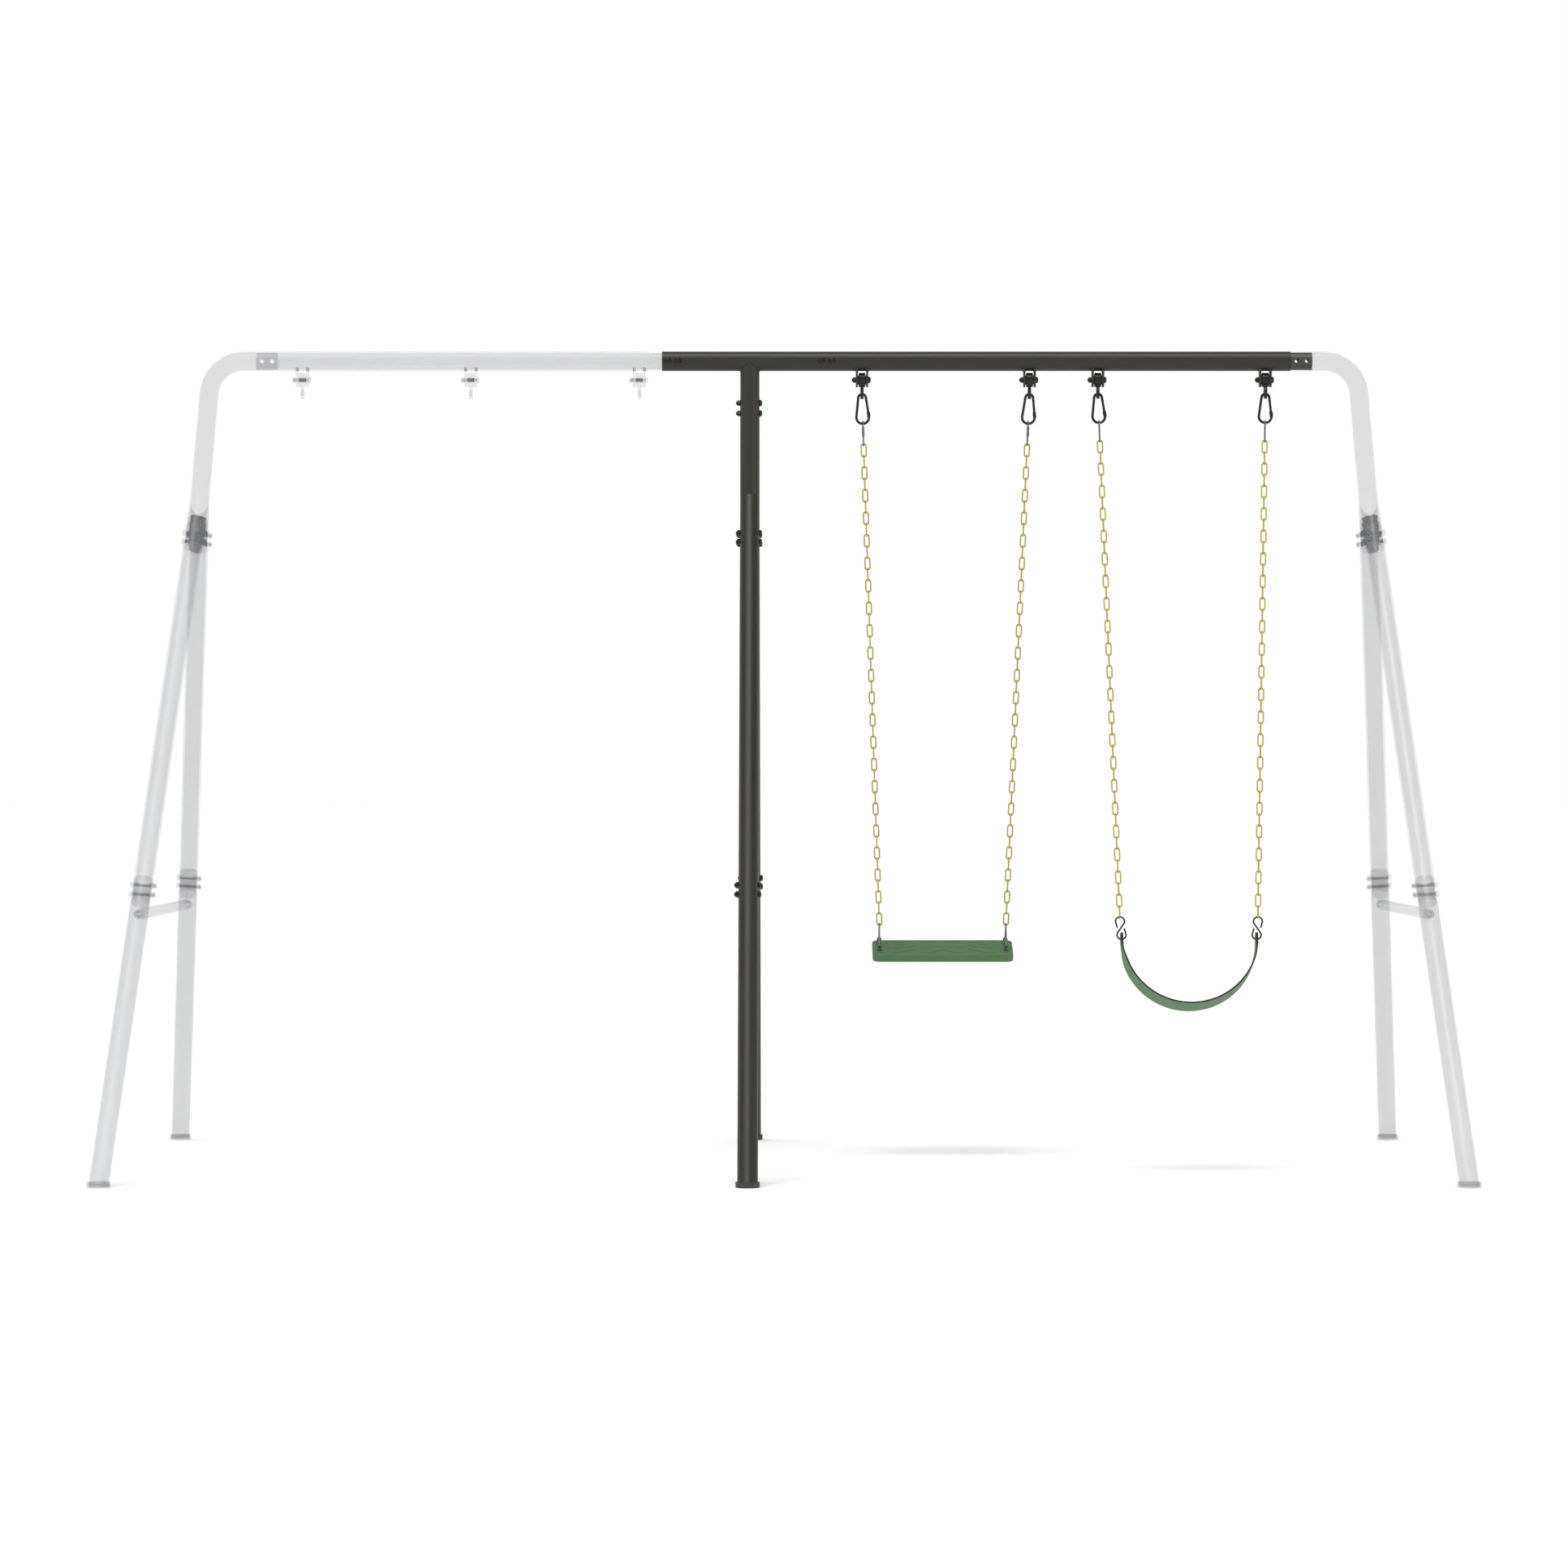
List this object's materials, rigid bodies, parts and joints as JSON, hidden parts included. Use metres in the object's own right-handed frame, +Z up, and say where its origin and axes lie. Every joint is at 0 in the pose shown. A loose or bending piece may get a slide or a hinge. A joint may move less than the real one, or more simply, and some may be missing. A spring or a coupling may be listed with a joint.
{
  "type": "swing set",
  "caption": "Free-standing round-tube swing set on A-frames, with a flat board swing, a sling belt swing and spare pivoting hangers on one long beam.",
  "frame": {"origin": "on the ground, under the middle of the beam and midway between the feet", "axes": "+X along the beam towards the belt swing, +Y across the beam to the rear, +Z up"},
  "size_m": [4.0186, 2.5806, 2.4925],
  "materials": {
    "steel_dark": "dark grey powder-coated steel tube, low satin",
    "steel_pale": "pale see-through rendering of powder-coated steel tube",
    "fastener_black": "black coated steel, satin",
    "steel_zinc": "dull zinc-plated steel",
    "hook_dark": "dark phosphated steel wire",
    "chain_yellow": "yellow plastisol-coated steel chain",
    "board_green": "green moulded polyethylene",
    "belt_green": "green moulded rubber belt",
    "cap_rubber": "dark moulded rubber",
    "cap_clear": "clear soft vinyl",
    "bush_nylon": "natural nylon"
  },
  "bodies": {
    "frame": {"beam_tee": "steel_dark", "beam_left": "steel_pale", "beam_right": "steel_dark", "corner_tube_left": "steel_pale", "corner_tube_right": "steel_pale", "mid_yoke": "steel_dark", "left_front_upper_leg": "steel_pale", "left_front_lower_leg": "steel_pale", "left_rear_upper_leg": "steel_pale", "left_rear_lower_leg": "steel_pale", "mid_front_upper_leg": "steel_dark", "mid_front_lower_leg": "steel_dark", "mid_rear_upper_leg": "steel_dark", "mid_rear_lower_leg": "steel_dark", "right_front_upper_leg": "steel_pale", "right_front_lower_leg": "steel_pale", "right_rear_upper_leg": "steel_pale", "right_rear_lower_leg": "steel_pale", "end_foot_caps": "cap_clear", "mid_foot_caps": "cap_rubber", "left_brace": "steel_pale", "right_brace": "steel_pale", "mid_frame_bolts": "fastener_black", "mid_frame_nuts": "fastener_black", "end_frame_bolts": "steel_pale", "end_frame_nuts": "steel_pale", "brace_bolts": "steel_pale", "right_hanger_ears": "steel_dark", "right_hanger_bolts": "fastener_black", "right_hanger_nuts": "fastener_black", "right_hanger_bushes": "bush_nylon", "left_hanger_ears": "steel_pale", "left_hanger_bolts": "steel_pale", "left_hanger_nuts": "steel_pale", "left_hanger_bushes": "bush_nylon"},
    "board_swing": {"board_pivots": "fastener_black", "board_carabiners": "fastener_black", "board_quick_links": "steel_zinc", "board_link_sleeves": "steel_zinc", "board_left_chain": "chain_yellow", "board_right_chain": "chain_yellow"},
    "board_seat": {"board_seat": "board_green", "board_triangles": "steel_zinc", "board_eye_bolts": "steel_zinc", "board_eye_nuts": "steel_zinc"},
    "belt_swing": {"belt_pivots": "fastener_black", "belt_carabiners": "fastener_black", "belt_end_links": "steel_zinc", "belt_left_chain": "chain_yellow", "belt_right_chain": "chain_yellow", "belt_hooks": "hook_dark"},
    "belt_seat": {"belt_seat": "belt_green"},
    "board_left_gate": {"board_left_gate": "fastener_black"},
    "board_right_gate": {"board_right_gate": "fastener_black"},
    "belt_left_gate": {"belt_left_gate": "fastener_black"},
    "belt_right_gate": {"belt_right_gate": "fastener_black"},
    "spare_pivot_1": {"spare_pivot_1": "steel_pale"},
    "spare_pivot_2": {"spare_pivot_2": "steel_pale"},
    "spare_pivot_3": {"spare_pivot_3": "steel_pale"}
  },
  "joints": [
    {"name": "board_swing_hinge", "type": "hinge", "parent": "frame", "child": "board_swing", "pos_m": [0.4975, 0, 2.405], "axis": [1, 0, 0], "range_deg": [-58, 32]},
    {"name": "belt_swing_hinge", "type": "hinge", "parent": "frame", "child": "belt_swing", "pos_m": [1.2225, 0, 2.405], "axis": [1, 0, 0], "range_deg": [-32.7, 57.3]},
    {"name": "board_seat_pitch", "type": "hinge", "parent": "board_swing", "child": "board_seat", "pos_m": [0.4975, 0.38956, 0.71762], "axis": [1, 0, 0], "range_deg": [-35, 35]},
    {"name": "belt_seat_pitch", "type": "hinge", "parent": "belt_swing", "child": "belt_seat", "pos_m": [1.2225, -0.37311, 0.69376], "axis": [1, 0, 0], "range_deg": [-30, 30]},
    {"name": "board_left_gate_hinge", "type": "hinge", "parent": "board_swing", "child": "board_left_gate", "pos_m": [0.25412, 0.01523, 2.33902], "axis": [0, 0.9744, 0.225], "range_deg": [0, 28], "stiffness_Nm_per_rad": 0.05, "springref_deg": -17.19},
    {"name": "board_right_gate_hinge", "type": "hinge", "parent": "board_swing", "child": "board_right_gate", "pos_m": [0.76777, 0.01545, 2.3381], "axis": [0, 0.9744, 0.225], "range_deg": [0, 28], "stiffness_Nm_per_rad": 0.05, "springref_deg": -17.19},
    {"name": "belt_left_gate_hinge", "type": "hinge", "parent": "belt_swing", "child": "belt_left_gate", "pos_m": [0.97902, -0.01444, 2.33877], "axis": [0, 0.977, -0.213], "range_deg": [0, 28], "stiffness_Nm_per_rad": 0.05, "springref_deg": -17.19},
    {"name": "belt_right_gate_hinge", "type": "hinge", "parent": "belt_swing", "child": "belt_right_gate", "pos_m": [1.49287, -0.01461, 2.33798], "axis": [0, 0.977, -0.213], "range_deg": [0, 28], "stiffness_Nm_per_rad": 0.05, "springref_deg": -17.19},
    {"name": "spare_pivot_1_hinge", "type": "hinge", "parent": "frame", "child": "spare_pivot_1", "pos_m": [-0.445, 0, 2.405], "axis": [1, 0, 0], "range_deg": [-80, 80]},
    {"name": "spare_pivot_2_hinge", "type": "hinge", "parent": "frame", "child": "spare_pivot_2", "pos_m": [-0.963, 0, 2.405], "axis": [1, 0, 0], "range_deg": [-80, 80]},
    {"name": "spare_pivot_3_hinge", "type": "hinge", "parent": "frame", "child": "spare_pivot_3", "pos_m": [-1.481, 0, 2.405], "axis": [1, 0, 0], "range_deg": [-80, 80]}
  ]
}
